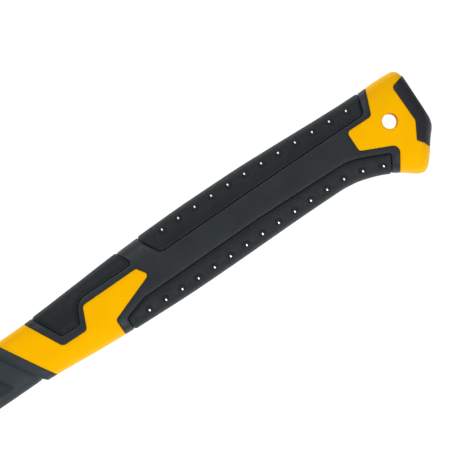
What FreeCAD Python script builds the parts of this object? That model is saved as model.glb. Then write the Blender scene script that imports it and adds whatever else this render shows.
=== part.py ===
"""Pick-head fire axe with a two-colour moulded handle, lying on its side.

Frame: millimetres, +Z up. The axe lies flat: the handle runs along X with its butt at +X and the
head at -X, the cutting edge points to -Y and the pick to +Y. The origin is the centre of the bottom
of the bounding box, so the lower cheek of the head and the table share the plane z = 0.

Construction: a pultruded fibreglass rod runs from the top of the eye to the butt. A rigid yellow
jacket is moulded on its lower end, and a rigid black neck sleeve on the rest, whose tongue fills the
eye and is potted there with resin. A rigid black grip shell covers the middle of the yellow jacket.
It carries three soft pads in recesses, two of them with rows of glossy domed studs, and a soft cap
covers the butt. A soft guard protects the neck below the head, and a soft ring seals the eye.

Shapes are built in handle coordinates (x from the butt, y and z from the handle's axis) and are
moved to the row frame on export.
"""

import FreeCAD
import Part
import math
import os

V = FreeCAD.Vector

# ---------------------------------------------------------------- driving dimensions
OVERALL_LENGTH = 712.0  # butt to the toe of the blade, along the handle
BLADE_REACH = 124.0  # handle axis to the middle of the cutting edge
PICK_REACH = 136.0  # handle axis to the tip of the pick
CHEEK_HALF = 16.0  # half the thickness of the head at the eye, which rests on the table
FAR = 60.0  # past any surface of the handle, for trimming prisms

# Layers of the handle, counted from the visible surface of the rigid jacket and shell
PAD_PROUD = 0.35  # soft pads stand this far out of the shell
PAD_SEAT = 0.85  # depth of the pad recess below the shell's surface
GROOVE = 0.9  # open groove round each pad
SHELL_DEPTH = 3.6  # thickness of the black shell over the yellow jacket

# Fibreglass rod
ROD_HALF_WIDTH, ROD_HALF_THICKNESS, ROD_CORNER = 9.0, 5.5, 4.0
ROD_BUTT_END = -48.0

# Hanging hole in the butt
HANG_X, HANG_Y, HANG_RADIUS = -18.0, -1.4, 4.0

# Studs
STUD_RADIUS, STUD_DOME, STUD_INSET = 1.8, 0.9, 5.0
BACK_STUDS, BACK_STUD_FIRST, BACK_STUD_PITCH = 12, -33.4, 10.14
BELLY_STUDS, BELLY_STUD_FIRST, BELLY_STUD_PITCH = 15, -33.6, 9.94

# Cushion-shaped section: each quarter is one cubic curve whose handles are this share of the half axes
SECTION_FULLNESS = 0.81

# Stations of the rigid jacket's and shell's surface: x, back edge y, belly edge y, half thickness
GRIP_STATIONS = [
    (-268.0, 14.6, -14.7, 11.4),
    (-250.0, 14.7, -15.0, 11.6),
    (-230.0, 15.2, -15.6, 12.0),
    (-200.0, 17.2, -17.4, 12.7),
    (-172.0, 19.3, -18.2, 13.4),
    (-150.0, 20.4, -18.5, 14.0),
    (-125.0, 21.1, -18.2, 14.5),
    (-100.0, 21.2, -17.6, 14.7),
    (-75.0, 20.6, -17.1, 14.7),
    (-58.0, 20.0, -17.0, 14.5),
    (-50.0, 19.7, -17.7, 14.5),
    (-42.0, 19.5, -19.7, 14.6),
    (-35.0, 19.3, -22.3, 14.8),
    (-28.0, 19.3, -26.1, 15.1),
    (-22.0, 19.4, -30.5, 15.4),
    (-19.5, 19.5, -32.1, 15.5),
    (-17.0, 19.6, -32.7, 15.7),
    (-14.5, 19.7, -31.7, 15.8),
    (-12.0, 19.7, -29.2, 15.9),
    (-8.0, 19.6, -24.0, 16.0),
    (-4.0, 19.2, -19.0, 15.6),
    (-1.5, 17.8, -15.9, 14.8),
    (0.0, 15.4, -12.6, 13.6),
]

# Neck sleeve up to its shoulder under the head: x, half width, half thickness
NECK_STATIONS = [
    (-228.0, 13.4, 10.0),
    (-262.0, 14.1, 10.2),
    (-330.0, 14.4, 10.4),
    (-440.0, 14.6, 10.6),
    (-520.0, 15.6, 11.2),
    (-570.0, 18.2, 12.0),
    (-605.0, 22.2, 12.8),
    (-632.0, 26.5, 13.4),
]

# Slanted parting line between the yellow band and the neck's collar: x where it crosses y = 0, and lean
BAND_X, BAND_LEAN = -239.4, -0.595
COLLAR_WIDTH = 5.0

# Corner points (x, y, corner radius) of the parting lines, from the back edge to the belly edge
BAND_LINE = [
    (-243.4, 40.0, 0.0),
    (-219.4, -5.1, 3.0),
    (-204.9, -5.1, 2.5),
    (-199.9, 6.6, 2.5),
    (-167.0, 7.3, 1.4),
    (-162.9, 1.3, 1.8),
    (-189.7, -8.9, 2.2),
    (-189.7, -FAR, 0.0),
]
BUTT_LINE = [
    (-10.9, 40.0, 0.0),
    (-24.5, 5.9, 2.5),
    (-39.3, 5.9, 2.0),
    (-39.3, -5.6, 2.0),
    (-20.2, -14.2, 3.5),
    (-49.7, -FAR, 0.0),
]
CAP_LINE = [
    (20.0, 18.9, 0.0),
    (-7.5, 12.6, 2.2),
    (-6.9, -8.2, 2.0),
    (-11.8, -17.1, 0.8),
    (-9.2, -20.3, 2.5),
    (10.0, -FAR, 0.0),
]

# Corner points (x, y, corner radius) of the pads, each closed beyond the handle's edge
THUMB_PAD = [
    (-244.1, 55.0, 0.0),
    (-216.1, 0.4, 0.8),
    (-207.7, 0.4, 0.8),
    (-202.4, 11.4, 3.5),
    (-168.3, 11.4, 1.0),
    (-181.0, 55.0, 0.0),
]
BACK_PAD = [
    (-164.0, 55.0, 0.0),
    (-157.2, 17.0, 8.0),
    (-151.6, 7.3, 3.5),
    (-100.0, 8.3, 300.0),
    (-27.4, 9.0, 1.2),
    (-12.2, 55.0, 0.0),
]
BELLY_PAD = [
    (-184.4, -55.0, 0.0),
    (-184.4, -11.6, 2.0),
    (-171.6, -7.7, 5.0),
    (-100.0, -6.4, 300.0),
    (-46.5, -7.4, 30.0),
    (-27.2, -16.0, 1.2),
    (-49.8, -55.0, 0.0),
]

# Pockets of the neck sleeve
POCKET_COUNT, POCKET_FIRST_X, POCKET_PITCH, POCKET_LENGTH = 6, -257.8, 46.0, 38.0
POCKET_HALF_WIDTH, POCKET_FLOOR, POCKET_CORNER = 9.6, 7.0, 1.2

# Guard below the head
GUARD_START, GUARD_END, GUARD_THICKNESS = -546.0, -626.0, 3.0
GUARD_RIBS, GUARD_RIB_PITCH, GUARD_RIB_WIDTH, GUARD_RIB_DEPTH = 5, 12.0, 4.0, 1.3

# Head
HEAD_BOTTOM, HEAD_TOP = -635.0, -697.0  # lower and upper faces of the eye, along x
EYE_LENGTH_HALF, CHEEK_FLAT_HALF = 38.0, 17.0
EDGE_RADIUS, EDGE_MIDDLE_X, EDGE_HALF_THICKNESS = 170.0, -660.0, 0.4
HEEL_X = -604.0
BLADE_PROFILE = [  # distance from the cutting edge, half thickness
    (0.0, EDGE_HALF_THICKNESS),
    (9.0, 2.6),
    (40.0, 4.8),
    (66.0, 8.0),
    (84.0, 12.5),
    (96.0, 15.4),
]
PICK_SECTIONS = [  # y, middle x, half height, half thickness
    (26.0, -666.0, 25.0, 14.5),
    (52.0, -666.5, 18.0, 11.5),
    (84.0, -664.5, 12.5, 8.6),
    (116.0, -661.0, 6.6, 5.4),
    (PICK_REACH, -658.0, 2.4, 2.2),
]
EYE_SECTIONS = [  # x, half width, half thickness of the hole
    (HEAD_BOTTOM + 1.0, 26.0, 10.6),
    (-664.0, 25.3, 10.2),
    (HEAD_TOP - 1.0, 28.0, 12.2),
]
TONGUE_HALF_WIDTH, TONGUE_HALF_THICKNESS = 24.4, 9.4
SEAL_LIP = 1.2

ROW_ORIGIN = V(OVERALL_LENGTH / 2, (BLADE_REACH - PICK_REACH) / 2, CHEEK_HALF)


# ---------------------------------------------------------------- shape helpers
def quarter(start, corner, end):
    """One cubic quarter of a cushion-shaped section, bulging towards corner."""
    curve = Part.BezierCurve()
    curve.setPoles(
        [
            start,
            start + (corner - start) * SECTION_FULLNESS,
            end + (corner - end) * SECTION_FULLNESS,
            end,
        ]
    )
    return curve.toShape()


def section(x, back, belly, half_thickness):
    """Closed section of the handle in the plane at x."""
    middle = (back + belly) / 2
    sides = [
        V(x, belly, 0),
        V(x, middle, half_thickness),
        V(x, back, 0),
        V(x, middle, -half_thickness),
    ]
    corners = [
        V(x, belly, half_thickness),
        V(x, back, half_thickness),
        V(x, back, -half_thickness),
        V(x, belly, -half_thickness),
    ]
    edges = [quarter(sides[i], corners[i], sides[(i + 1) % 4]) for i in range(4)]
    return Part.Wire(edges)


def loft_along_handle(stations, inset=0.0):
    """Solid through sections (x, back, belly, half thickness), all drawn in by inset."""
    wires = [
        section(x, back - inset, belly + inset, half - inset)
        for x, back, belly, half in stations
    ]
    return Part.makeLoft(wires, True, False)


def grip_body(inset, first=-268.0, last=0.0):
    """The handle's lower end, drawn in by inset, between two stations."""
    return loft_along_handle(
        [s for s in GRIP_STATIONS if first <= s[0] <= last], inset
    )


def rounded_wire(corners):
    """Closed planar wire through (x, y, radius) corners, with tangent arcs at the corners."""
    count = len(corners)
    starts, ends, arcs = [], [], []
    for i, (x, y, radius) in enumerate(corners):
        here = V(x, y, 0)
        before = V(*corners[i - 1][:2], 0) - here
        after = V(*corners[(i + 1) % count][:2], 0) - here
        if radius == 0.0:
            starts.append(here)
            ends.append(here)
            arcs.append(None)
            continue
        before.normalize()
        after.normalize()
        half = before.getAngle(after) / 2
        run = radius / math.tan(half)
        bisector = before + after
        bisector.normalize()
        centre = here + bisector * (radius / math.sin(half))
        start, end = here + before * run, here + after * run
        arcs.append(Part.Arc(start, centre - bisector * radius, end).toShape())
        starts.append(start)
        ends.append(end)
    edges = []
    for i in range(count):
        if arcs[i] is not None:
            edges.append(arcs[i])
        edges.append(Part.LineSegment(ends[i], starts[(i + 1) % count]).toShape())
    return Part.Wire(edges)


def prism(wire, low=-FAR, high=FAR):
    """Solid of a planar wire, from z = low to z = high."""
    face = Part.Face(wire)
    face.translate(V(0, 0, low))
    return face.extrude(V(0, 0, high - low))


def band_line_x(y):
    """x of the slanted parting line at height y."""
    return BAND_X + BAND_LEAN * y


def one_solid(shape, name):
    """The single solid of a boolean's result."""
    solids = shape.Solids
    if len(solids) != 1:
        raise ValueError(f"{name} has {len(solids)} solids")
    return solids[0]


# ---------------------------------------------------------------- regions in plan
def region_between(left, right):
    """Prism between two parting lines, both running from the back edge to the belly edge."""
    return prism(rounded_wire(list(left) + list(reversed(right))))


def slant(offset):
    """The slanted parting line, moved along x."""
    return [
        (band_line_x(FAR) + offset, FAR, 0.0),
        (band_line_x(-FAR) + offset, -FAR, 0.0),
    ]


# ---------------------------------------------------------------- sub-parts
def fibreglass_rod():
    """Rod with rounded corners, from the top of the eye to the butt."""
    wire = rounded_wire(
        [
            (side_y * ROD_HALF_WIDTH, side_z * ROD_HALF_THICKNESS, ROD_CORNER)
            for side_y, side_z in ((-1, -1), (1, -1), (1, 1), (-1, 1))
        ]
    )
    rod = Part.Face(wire).extrude(V(0, 0, ROD_BUTT_END - HEAD_TOP))
    rod.rotate(V(0, 0, 0), V(1, 1, 1), 120)  # plan x, y and height become y, z and x
    rod.translate(V(HEAD_TOP, 0, 0))
    return rod


def grip_jacket(rod):
    """Yellow jacket: slanted band, hidden middle and flared butt, with the hanging hole."""
    surface = grip_body(0.0)
    band = surface.common(region_between(slant(0.0), BAND_LINE))
    far_right = [(30.0, FAR, 0.0), (30.0, -FAR, 0.0)]
    butt = surface.common(region_between(BUTT_LINE, far_right)).cut(cap_region())
    middle = grip_body(SHELL_DEPTH, last=-4.0).common(
        region_between(slant(0.0), far_right)
    )
    jacket = band.fuse(middle).fuse(butt).cut(rod)
    hole = Part.makeCylinder(HANG_RADIUS, 2 * FAR, V(HANG_X, HANG_Y, -FAR))
    return one_solid(jacket.cut(hole), "grip_jacket")


def cap_region():
    """Plan region of the soft cap on the butt."""
    return region_between(CAP_LINE, [(40.0, 18.9, 0.0), (40.0, -FAR, 0.0)])


def butt_cap():
    """Soft cap that wraps the end of the butt round a tongue of the jacket."""
    cap = grip_body(0.0).common(cap_region())
    return one_solid(cap.cut(grip_body(SHELL_DEPTH, last=-4.0)), "butt_cap")


def pad_prism(outline, grow=0.0):
    """Plan prism of a pad, or of its recess when grown by the groove."""
    wire = rounded_wire(outline)
    return prism(wire.makeOffset2D(grow) if grow else wire)


def grip_shell():
    """Rigid black shell between the yellow band and the butt, with the three pad recesses."""
    shell = grip_body(0.0).common(region_between(BAND_LINE, BUTT_LINE))
    seat = grip_body(PAD_SEAT)
    for outline in (THUMB_PAD, BACK_PAD, BELLY_PAD):
        shell = shell.cut(pad_prism(outline, GROOVE).cut(seat))
    return one_solid(shell.cut(grip_body(SHELL_DEPTH, last=-4.0)), "grip_shell")


def pad(outline, studs, name):
    """Soft pad wrapped round one edge of the shell, with holes for its studs."""
    body = grip_body(-PAD_PROUD).common(pad_prism(outline)).cut(grip_body(PAD_SEAT))
    if studs:
        body = body.cut(Part.makeCompound(studs))
    return one_solid(body, name)


def edge_at(x, side):
    """y of the pad's edge at x on the back (side 1) or the belly (side -1), and the section there."""
    for near, far in zip(GRIP_STATIONS, GRIP_STATIONS[1:]):
        if near[0] <= x <= far[0]:
            share = (x - near[0]) / (far[0] - near[0])
            back, belly, half = (
                n + share * (f - n) for n, f in zip(near[1:], far[1:])
            )
            return (back if side > 0 else belly), (back + belly) / 2, half
    raise ValueError("x is off the handle")


def stud(x, side, face):
    """One stud, square to the pad's surface, from the seat to its dome."""
    edge, middle, half = edge_at(x, side)
    reach = abs(edge - middle) + PAD_PROUD
    share = 1 - STUD_INSET / reach
    low, high = 0.0, 1.0  # solve the section's cubic for the parameter at this share of its width
    for _ in range(40):
        t = (low + high) / 2
        width = 3 * SECTION_FULLNESS * t * (1 - t) ** 2 + 3 * t**2 * (1 - t) + t**3
        low, high = (t, high) if width < share else (low, t)
    rise = (1 - t) ** 3 + 3 * (1 - t) ** 2 * t + 3 * (1 - t) * t**2 * SECTION_FULLNESS
    d_width = 3 * (
        SECTION_FULLNESS * (1 - t) ** 2
        + 2 * (1 - SECTION_FULLNESS) * t * (1 - t)
    )
    d_rise = 3 * (
        -2 * (1 - SECTION_FULLNESS) * t * (1 - t) - SECTION_FULLNESS * t**2
    )
    height = half + PAD_PROUD
    point = V(x, middle + side * reach * share, face * height * rise)
    normal = V(0, -side * height * d_rise, face * reach * d_width)
    normal.normalize()
    shank = Part.makeCylinder(
        STUD_RADIUS,
        PAD_SEAT + PAD_PROUD + 0.15,
        point - normal * (PAD_SEAT + PAD_PROUD - 0.05),
        normal,
    )
    ball_radius = (STUD_RADIUS**2 + STUD_DOME**2) / (2 * STUD_DOME)
    dome = Part.makeSphere(
        ball_radius, point + normal * (0.2 + STUD_DOME - ball_radius)
    )
    column = Part.makeCylinder(STUD_RADIUS, 3.0, point + normal * 0.2, normal)
    return shank.fuse(dome.common(column)).removeSplitter().Solids[0]


def stud_row(first, count, pitch, side):
    """The studs of one pad, on both faces of the handle."""
    return [
        stud(first - i * pitch, side, face)
        for i in range(count)
        for face in (1, -1)
    ]


def neck_surface(grow=0.0, first=-228.0, last=-632.0):
    """Outer surface of the neck sleeve, grown by grow, between two stations."""
    return loft_along_handle(
        [
            (x, width + grow, -width - grow, half + grow)
            for x, width, half in NECK_STATIONS
            if last <= x <= first
        ]
    )


def pockets():
    """Recesses on both faces of the neck, with ends parallel to the slanted collar."""
    cutters = []
    for i in range(POCKET_COUNT):
        right = POCKET_FIRST_X - i * POCKET_PITCH
        corners = []
        for x, y in (
            (right, -POCKET_HALF_WIDTH),
            (right, POCKET_HALF_WIDTH),
            (right - POCKET_LENGTH, POCKET_HALF_WIDTH),
            (right - POCKET_LENGTH, -POCKET_HALF_WIDTH),
        ):
            corners.append((x + BAND_LEAN * y, y, POCKET_CORNER))
        wire = rounded_wire(corners)
        cutters.append(prism(wire, POCKET_FLOOR, FAR))
        cutters.append(prism(wire, -FAR, -POCKET_FLOOR))
    return Part.makeCompound(cutters)


def tongue():
    """The part of the neck sleeve that fills the eye."""
    stations = [
        (x, TONGUE_HALF_WIDTH, -TONGUE_HALF_WIDTH, TONGUE_HALF_THICKNESS)
        for x in (-630.0, HEAD_TOP)
    ]
    return loft_along_handle(stations)


def neck_sleeve(rod):
    """Rigid black sleeve from the slanted collar to the tongue in the eye."""
    collar = grip_body(0.0).common(
        region_between(slant(-COLLAR_WIDTH), slant(0.0))
    )
    far_left = [(-640.0, FAR, 0.0), (-640.0, -FAR, 0.0)]
    neck = neck_surface().common(region_between(far_left, slant(0.0)))
    sleeve = neck.cut(pockets()).fuse(collar).fuse(tongue())
    return one_solid(sleeve.cut(rod), "neck_sleeve")


def overstrike_guard():
    """Soft ribbed sleeve on the neck, just below the head."""
    stations = [(GUARD_START, 15.2, 11.0)]
    stations += [s for s in NECK_STATIONS if GUARD_END < s[0] < GUARD_START]
    stations.append((GUARD_END, 25.6, 13.2))
    outer = loft_along_handle(
        [
            (x, w + GUARD_THICKNESS, -w - GUARD_THICKNESS, h + GUARD_THICKNESS - 0.6)
            for x, w, h in stations
        ]
    )
    for i in range(GUARD_RIBS):
        middle = GUARD_END + 12.0 + i * GUARD_RIB_PITCH
        slab = Part.makeBox(
            GUARD_RIB_WIDTH, 2 * FAR, 2 * FAR, V(middle, -FAR, -FAR)
        )
        waist = loft_along_handle(
            [
                (
                    x,
                    w + GUARD_THICKNESS - GUARD_RIB_DEPTH,
                    -w - GUARD_THICKNESS + GUARD_RIB_DEPTH,
                    h + GUARD_THICKNESS - 0.6 - GUARD_RIB_DEPTH,
                )
                for x, w, h in stations
            ]
        )
        outer = outer.cut(slab.cut(waist))
    return one_solid(outer.cut(neck_surface()), "overstrike_guard")


def eye_hole():
    """The oval hole through the head."""
    return loft_along_handle(
        [(x, half, -half, thickness) for x, half, thickness in EYE_SECTIONS]
    )


def eye_resin():
    """Potting resin between the tongue and the wall of the eye."""
    slab = Part.makeBox(HEAD_BOTTOM - HEAD_TOP, 2 * FAR, 2 * FAR, V(HEAD_TOP, -FAR, -FAR))
    return one_solid(eye_hole().common(slab).cut(tongue()), "eye_resin")


def eye_seal():
    """Soft ring round the tongue, between the sleeve's shoulder and the head."""
    width, half = NECK_STATIONS[-1][1:]
    ring = loft_along_handle(
        [
            (x, width + SEAL_LIP, -width - SEAL_LIP, half + SEAL_LIP)
            for x in (HEAD_BOTTOM, NECK_STATIONS[-1][0])
        ]
    )
    return one_solid(ring.cut(tongue()), "eye_seal")


def blade():
    """Blade: a plan outline with a curved edge, given its thickness by a turned profile."""
    centre = V(EDGE_MIDDLE_X, EDGE_RADIUS - BLADE_REACH, 0)

    def on_edge(x):
        """Point of the cutting edge at x."""
        drop = math.sqrt(EDGE_RADIUS**2 - (x - EDGE_MIDDLE_X) ** 2)
        return V(x, centre.y - drop, 0)

    toe, heel = on_edge(-OVERALL_LENGTH), on_edge(HEEL_X)
    top_root, bottom_root = V(HEAD_TOP, -20, 0), V(HEAD_BOTTOM, -20, 0)
    top = Part.BezierCurve()
    top.setPoles([top_root, V(-697.5, -60, 0), V(-704, -96, 0), toe])
    bottom = Part.BezierCurve()
    bottom.setPoles([heel, V(-624, -92, 0), V(-634, -66, 0), bottom_root])
    edge = Part.Arc(toe, on_edge(EDGE_MIDDLE_X), heel)
    plan = prism(
        Part.Wire(
            [
                top.toShape(),
                edge.toShape(),
                bottom.toShape(),
                Part.LineSegment(bottom_root, top_root).toShape(),
            ]
        )
    )
    upper = [V(EDGE_RADIUS - depth, 0, half) for depth, half in BLADE_PROFILE]
    lower = [V(p.x, 0, -p.z) for p in reversed(upper)]
    cheek_up = Part.BSplineCurve()
    cheek_up.interpolate(upper[1:])
    cheek_down = Part.BSplineCurve()
    cheek_down.interpolate(lower[:-1])
    profile = Part.Wire(
        [
            Part.LineSegment(upper[0], upper[1]).toShape(),
            cheek_up.toShape(),
            Part.LineSegment(upper[-1], lower[0]).toShape(),
            cheek_down.toShape(),
            Part.LineSegment(lower[-2], lower[-1]).toShape(),
            Part.LineSegment(lower[-1], upper[0]).toShape(),
        ]
    )
    turned = Part.Face(profile).revolve(V(0, 0, 0), V(0, 0, 1), 360)
    turned.translate(centre)
    return plan.common(turned)


def eye_block():
    """Body of the head round the eye, with flat cheeks."""
    corners = [
        (-EYE_LENGTH_HALF, -8.0, 3.0),
        (-CHEEK_FLAT_HALF, -CHEEK_HALF, 12.0),
        (CHEEK_FLAT_HALF, -CHEEK_HALF, 12.0),
        (EYE_LENGTH_HALF, -9.0, 3.0),
        (EYE_LENGTH_HALF, 9.0, 3.0),
        (CHEEK_FLAT_HALF, CHEEK_HALF, 12.0),
        (-CHEEK_FLAT_HALF, CHEEK_HALF, 12.0),
        (-EYE_LENGTH_HALF, 8.0, 3.0),
    ]
    block = Part.Face(rounded_wire(corners)).extrude(V(0, 0, HEAD_BOTTOM - HEAD_TOP))
    block.rotate(V(0, 0, 0), V(1, 1, 1), 120)
    block.translate(V(HEAD_TOP, 0, 0))
    return block


def pick():
    """Pick: four-sided, tapering and drooping towards the handle."""
    wires = []
    for y, middle, half_height, half in PICK_SECTIONS:
        radius = min(half_height, half) * 0.35
        wire = rounded_wire(
            [
                (side_x * half_height, side_z * half, radius)
                for side_x, side_z in ((-1, -1), (1, -1), (1, 1), (-1, 1))
            ]
        )
        wire.rotate(V(0, 0, 0), V(1, 0, 0), 90)
        wire.translate(V(middle, y, 0))
        wires.append(wire)
    return Part.makeLoft(wires, True, False)


def axe_head():
    """Forged head: eye block, blade and pick in one piece."""
    head = eye_block().fuse(blade()).fuse(pick())
    return one_solid(head.cut(eye_hole()), "axe_head")


# ---------------------------------------------------------------- assembly
def assembly():
    """Every node of the axe in handle coordinates, by name."""
    rod = fibreglass_rod()
    sleeve = neck_sleeve(rod)
    back_studs = stud_row(BACK_STUD_FIRST, BACK_STUDS, BACK_STUD_PITCH, 1)
    belly_studs = stud_row(BELLY_STUD_FIRST, BELLY_STUDS, BELLY_STUD_PITCH, -1)
    return {
        "fibreglass_rod": rod,
        "grip_jacket": grip_jacket(rod),
        "grip_shell": grip_shell(),
        "thumb_pad": pad(THUMB_PAD, [], "thumb_pad"),
        "back_pad": pad(BACK_PAD, back_studs, "back_pad"),
        "belly_pad": pad(BELLY_PAD, belly_studs, "belly_pad"),
        "back_studs": Part.makeCompound(back_studs),
        "belly_studs": Part.makeCompound(belly_studs),
        "butt_cap": butt_cap(),
        "neck_sleeve": sleeve,
        "overstrike_guard": overstrike_guard(),
        "eye_seal": eye_seal(),
        "eye_resin": eye_resin(),
        "axe_head": axe_head(),
    }


def main():
    os.makedirs("parts", exist_ok=True)
    for name, shape in assembly().items():
        shape.translate(ROW_ORIGIN)
        shape.exportStep(f"parts/{name}.step")
        box = shape.BoundBox
        print(
            f"{name:18s} {shape.Volume / 1000:8.2f} cm3  valid {shape.isValid()}  "
            f"x {box.XMin:7.1f} {box.XMax:7.1f}  y {box.YMin:7.1f} {box.YMax:7.1f}  "
            f"z {box.ZMin:6.2f} {box.ZMax:6.2f}"
        )


main()
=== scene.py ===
"""Looks of the pick-head fire axe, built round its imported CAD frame.

Tables are in millimetres and in handle coordinates: x from the end of the butt, negative towards
the head, y from the handle's axis towards the pick, z from the plane in which the axe is its own
mirror image. place() brings them to the frame, in metres.

The surface of the handle is worked on flat: x stays, and v is the distance round the section from
the middle of the upper face, positive towards the back edge and negative towards the belly edge.
A patch is triangulated on the flat sheet, wrapped round the body, raised or sunk along its normal,
and mirrored.
"""

import math
from contextlib import contextmanager

import bmesh
import bpy
import numpy as np
from mathutils import Matrix, Vector
from mathutils.geometry import delaunay_2d_cdt


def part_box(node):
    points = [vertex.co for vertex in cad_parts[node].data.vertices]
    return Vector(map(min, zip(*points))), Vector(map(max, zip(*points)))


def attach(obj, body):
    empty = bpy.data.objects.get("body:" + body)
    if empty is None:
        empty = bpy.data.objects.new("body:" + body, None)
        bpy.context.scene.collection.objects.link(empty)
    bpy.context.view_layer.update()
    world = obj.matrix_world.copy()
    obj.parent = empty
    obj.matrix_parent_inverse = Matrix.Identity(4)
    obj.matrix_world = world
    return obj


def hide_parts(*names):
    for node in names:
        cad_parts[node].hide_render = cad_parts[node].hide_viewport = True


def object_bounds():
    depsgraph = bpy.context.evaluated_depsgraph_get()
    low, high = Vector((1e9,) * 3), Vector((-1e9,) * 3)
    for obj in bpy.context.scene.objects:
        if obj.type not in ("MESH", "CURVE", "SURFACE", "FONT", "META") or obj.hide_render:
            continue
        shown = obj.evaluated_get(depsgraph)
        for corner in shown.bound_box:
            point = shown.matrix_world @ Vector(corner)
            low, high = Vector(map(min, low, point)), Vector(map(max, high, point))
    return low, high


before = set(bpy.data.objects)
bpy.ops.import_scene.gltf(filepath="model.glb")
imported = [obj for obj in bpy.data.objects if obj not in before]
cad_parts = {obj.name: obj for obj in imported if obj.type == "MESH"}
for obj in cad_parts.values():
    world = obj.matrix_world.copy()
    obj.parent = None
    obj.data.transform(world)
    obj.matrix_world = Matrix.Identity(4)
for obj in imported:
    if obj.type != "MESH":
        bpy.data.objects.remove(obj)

# ---- frame
MM = 0.001
CAD_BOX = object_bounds()
ROD_LOW, ROD_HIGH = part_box("fibreglass_rod")
ORIGIN = np.array([CAD_BOX[1].x, (ROD_LOW.y + ROD_HIGH.y) / 2, (ROD_LOW.z + ROD_HIGH.z) / 2])

# ---- handle tables
FULLNESS = 0.81  # how full the cushion-shaped section is

GRIP_STATIONS = [  # x, back edge y, belly edge y, half thickness
    (-268.0, 14.6, -14.7, 11.4),
    (-250.0, 14.7, -15.0, 11.6),
    (-230.0, 15.2, -15.6, 12.0),
    (-200.0, 17.2, -17.4, 12.7),
    (-172.0, 19.3, -18.2, 13.4),
    (-150.0, 20.4, -18.5, 14.0),
    (-125.0, 21.1, -18.2, 14.5),
    (-100.0, 21.2, -17.6, 14.7),
    (-75.0, 20.6, -17.1, 14.7),
    (-58.0, 20.0, -17.0, 14.5),
    (-50.0, 19.7, -17.7, 14.5),
    (-42.0, 19.5, -19.7, 14.6),
    (-35.0, 19.3, -22.3, 14.8),
    (-28.0, 19.3, -26.1, 15.1),
    (-22.0, 19.4, -30.5, 15.4),
    (-19.5, 19.5, -32.1, 15.5),
    (-17.0, 19.6, -32.7, 15.7),
    (-14.5, 19.7, -31.7, 15.8),
    (-12.0, 19.7, -29.2, 15.9),
    (-4.5, 19.4, -19.4, 15.7),
    (-1.5, 18.0, -15.8, 14.9),
    (-0.4, 16.2, -13.8, 14.2),
    (0.0, 14.8, -12.2, 13.4),
]
NECK_STATIONS = [  # x, half width, half thickness
    (-634.0, 26.5, 13.4),
    (-605.0, 22.2, 12.8),
    (-570.0, 18.2, 12.0),
    (-520.0, 15.6, 11.2),
    (-440.0, 14.6, 10.6),
    (-330.0, 14.4, 10.4),
    (-262.0, 14.1, 10.2),
    (-226.0, 13.4, 10.0),
]

BAND_X, BAND_LEAN = -239.4, -0.595  # slanted parting line: x where it crosses the axis, and lean
COLLAR_WIDTH, COLLAR_STEP = 5.2, 2.3  # the collar's raised width, and the run of its step
COLLAR_GROOVE = 0.3  # depth of the groove at the foot of the step
BEYOND = 60.0  # a y outside the handle, on either side

# Parting lines from the back edge to the belly edge, and pads: x, y, corner radius
BAND_LINE = [
    (-243.4, 40.0, 0.0),
    (-219.4, -5.1, 3.0),
    (-204.9, -5.1, 2.5),
    (-199.9, 6.6, 2.5),
    (-167.0, 7.3, 1.4),
    (-162.9, 1.3, 1.8),
    (-189.7, -8.9, 2.2),
    (-189.7, -60.0, 0.0),
]
BUTT_LINE = [
    (-10.9, 40.0, 0.0),
    (-24.5, 5.9, 2.5),
    (-39.3, 5.9, 2.0),
    (-39.3, -5.6, 2.0),
    (-20.2, -14.2, 3.5),
    (-49.7, -60.0, 0.0),
]
CAP_LINE = [
    (20.0, 18.9, 0.0),
    (-7.5, 12.6, 2.2),
    (-6.9, -8.2, 2.0),
    (-11.8, -17.1, 0.8),
    (-9.2, -20.3, 2.5),
    (10.0, -60.0, 0.0),
]
THUMB_PAD = [
    (-245.5, 55.0, 0.0),
    (-217.1, -0.5, 1.2),
    (-206.6, -0.5, 1.2),
    (-201.4, 10.7, 9.0),
    (-167.0, 10.6, 1.8),
    (-188.0, 55.0, 0.0),
]
BACK_PAD = [
    (-164.0, 55.0, 0.0),
    (-157.2, 17.0, 8.0),
    (-151.6, 7.3, 3.5),
    (-100.0, 8.3, 300.0),
    (-27.4, 9.0, 2.2),
    (-12.2, 55.0, 0.0),
]
BELLY_PAD = [
    (-184.4, -55.0, 0.0),
    (-184.4, -11.6, 2.0),
    (-171.6, -7.5, 5.0),
    (-100.0, -6.0, 300.0),
    (-46.0, -6.9, 30.0),
    (-26.4, -15.5, 1.2),
    (-49.8, -55.0, 0.0),
]
HANG_X, HANG_Y, HANG_RADIUS = -18.0, -1.4, 4.0

PAD_PROUD = 0.35
STUD_RADIUS, STUD_INSET, STUD_RISE = 1.7, 5.15, 0.8
STUD_CURVE, STUD_FOOT = 4.1, -0.45  # radius of the dome, and height of the hidden foot
STUD_LEAN = 0.5  # share of the surface's sideways tilt that a stud keeps
BACK_STUDS = (12, -33.4, 10.14, 1)  # count, first x, pitch, side
BELLY_STUDS = (15, -33.6, 9.94, -1)

POCKET_COUNT, POCKET_FIRST_X, POCKET_PITCH, POCKET_LENGTH = 6, -256.9, 46.0, 38.0
POCKET_HALF_WIDTH, POCKET_DEPTH, POCKET_CORNER = 9.6, 3.2, 1.2
POCKET_WALL, POCKET_RAMP = 1.15, 0.62  # slopes of the pocket's walls and of its floor's ramp
POCKET_FALL = (0.72, 0.69)  # the way the ramp falls: towards -x, and towards +y

GUARD_START, GUARD_END, GUARD_THICKNESS = -546.0, -626.0, 2.9
GUARD_RIBS, GUARD_RIB_START, GUARD_RIB_PITCH = 6, 5.0, 11.0
GUARD_GROOVE, GUARD_GROOVE_DEPTH, GUARD_GROOVE_WALL = 2.2, 1.4, 0.9
GUARD_ROUND, GUARD_ROUND_RUN = 1.4, 1.6  # rounding of both ends: depth and run
GUARD_TAPER, GUARD_TAPER_RUN = 1.3, 10.0  # thinning towards the grip: depth and run

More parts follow.
